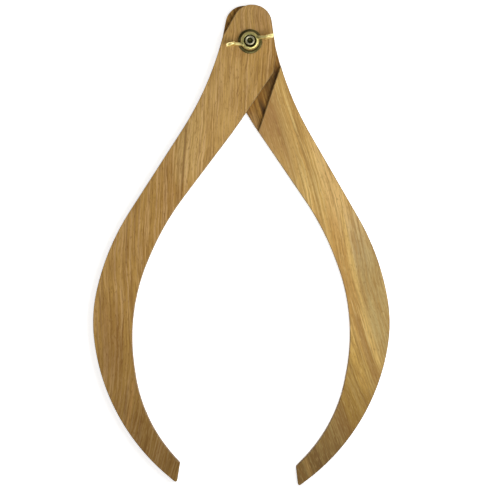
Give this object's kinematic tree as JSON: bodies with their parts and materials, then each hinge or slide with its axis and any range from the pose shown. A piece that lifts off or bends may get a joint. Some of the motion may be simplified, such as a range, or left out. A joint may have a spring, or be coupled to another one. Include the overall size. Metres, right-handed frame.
{
  "type": "wooden outside calipers",
  "caption": "Flat wooden outside calipers: bowed arms half-lapped at a round head and clamped by a carriage bolt, washer and wing nut.",
  "frame": {"origin": "on the bolt's axis, at the flat crown of its head", "axes": "+Z along the bolt towards the wing nut, +Y from the tips towards the round heads, +X to the right with the wing nut facing the viewer"},
  "size_m": [0.1857, 0.3, 0.0268],
  "materials": {
    "front_arm_wood": "planed fruitwood, reddish brown, straight grain, lightly waxed",
    "rear_arm_wood": "planed fruitwood, yellower, slanting grain with a grey-green streak, lightly waxed",
    "bolt_plating": "yellow plated steel, lightly worn",
    "washer_plating": "dull dark olive plated steel",
    "nut_plating": "yellow plated steel, cast, bright on its high spots"
  },
  "bodies": {
    "rear_arm": {"right_arm": "rear_arm_wood", "carriage_bolt": "bolt_plating"},
    "front_arm": {"left_arm": "front_arm_wood"},
    "washer": {"washer": "washer_plating"},
    "nut": {"wing_nut": "nut_plating"}
  },
  "joints": [
    {"name": "arm_pivot", "type": "hinge", "parent": "rear_arm", "child": "front_arm", "pos_m": [0, 0, 0.0086], "axis": [0, 0, 1], "range_deg": [-245.5, 15.55]},
    {"name": "washer_slide", "type": "slide", "parent": "rear_arm", "child": "washer", "axis": [0, 0, 1], "range_m": [0, 0.00301]},
    {"name": "nut_turn", "type": "hinge", "parent": "washer", "child": "nut", "pos_m": [0, 0, 0.0178], "axis": [0, 0, 1], "range_deg": [0, 1080]}
  ],
  "couplings": [
    {"joint": "washer_slide", "follows": "nut_turn", "m_per_rad": 0.00015915}
  ]
}
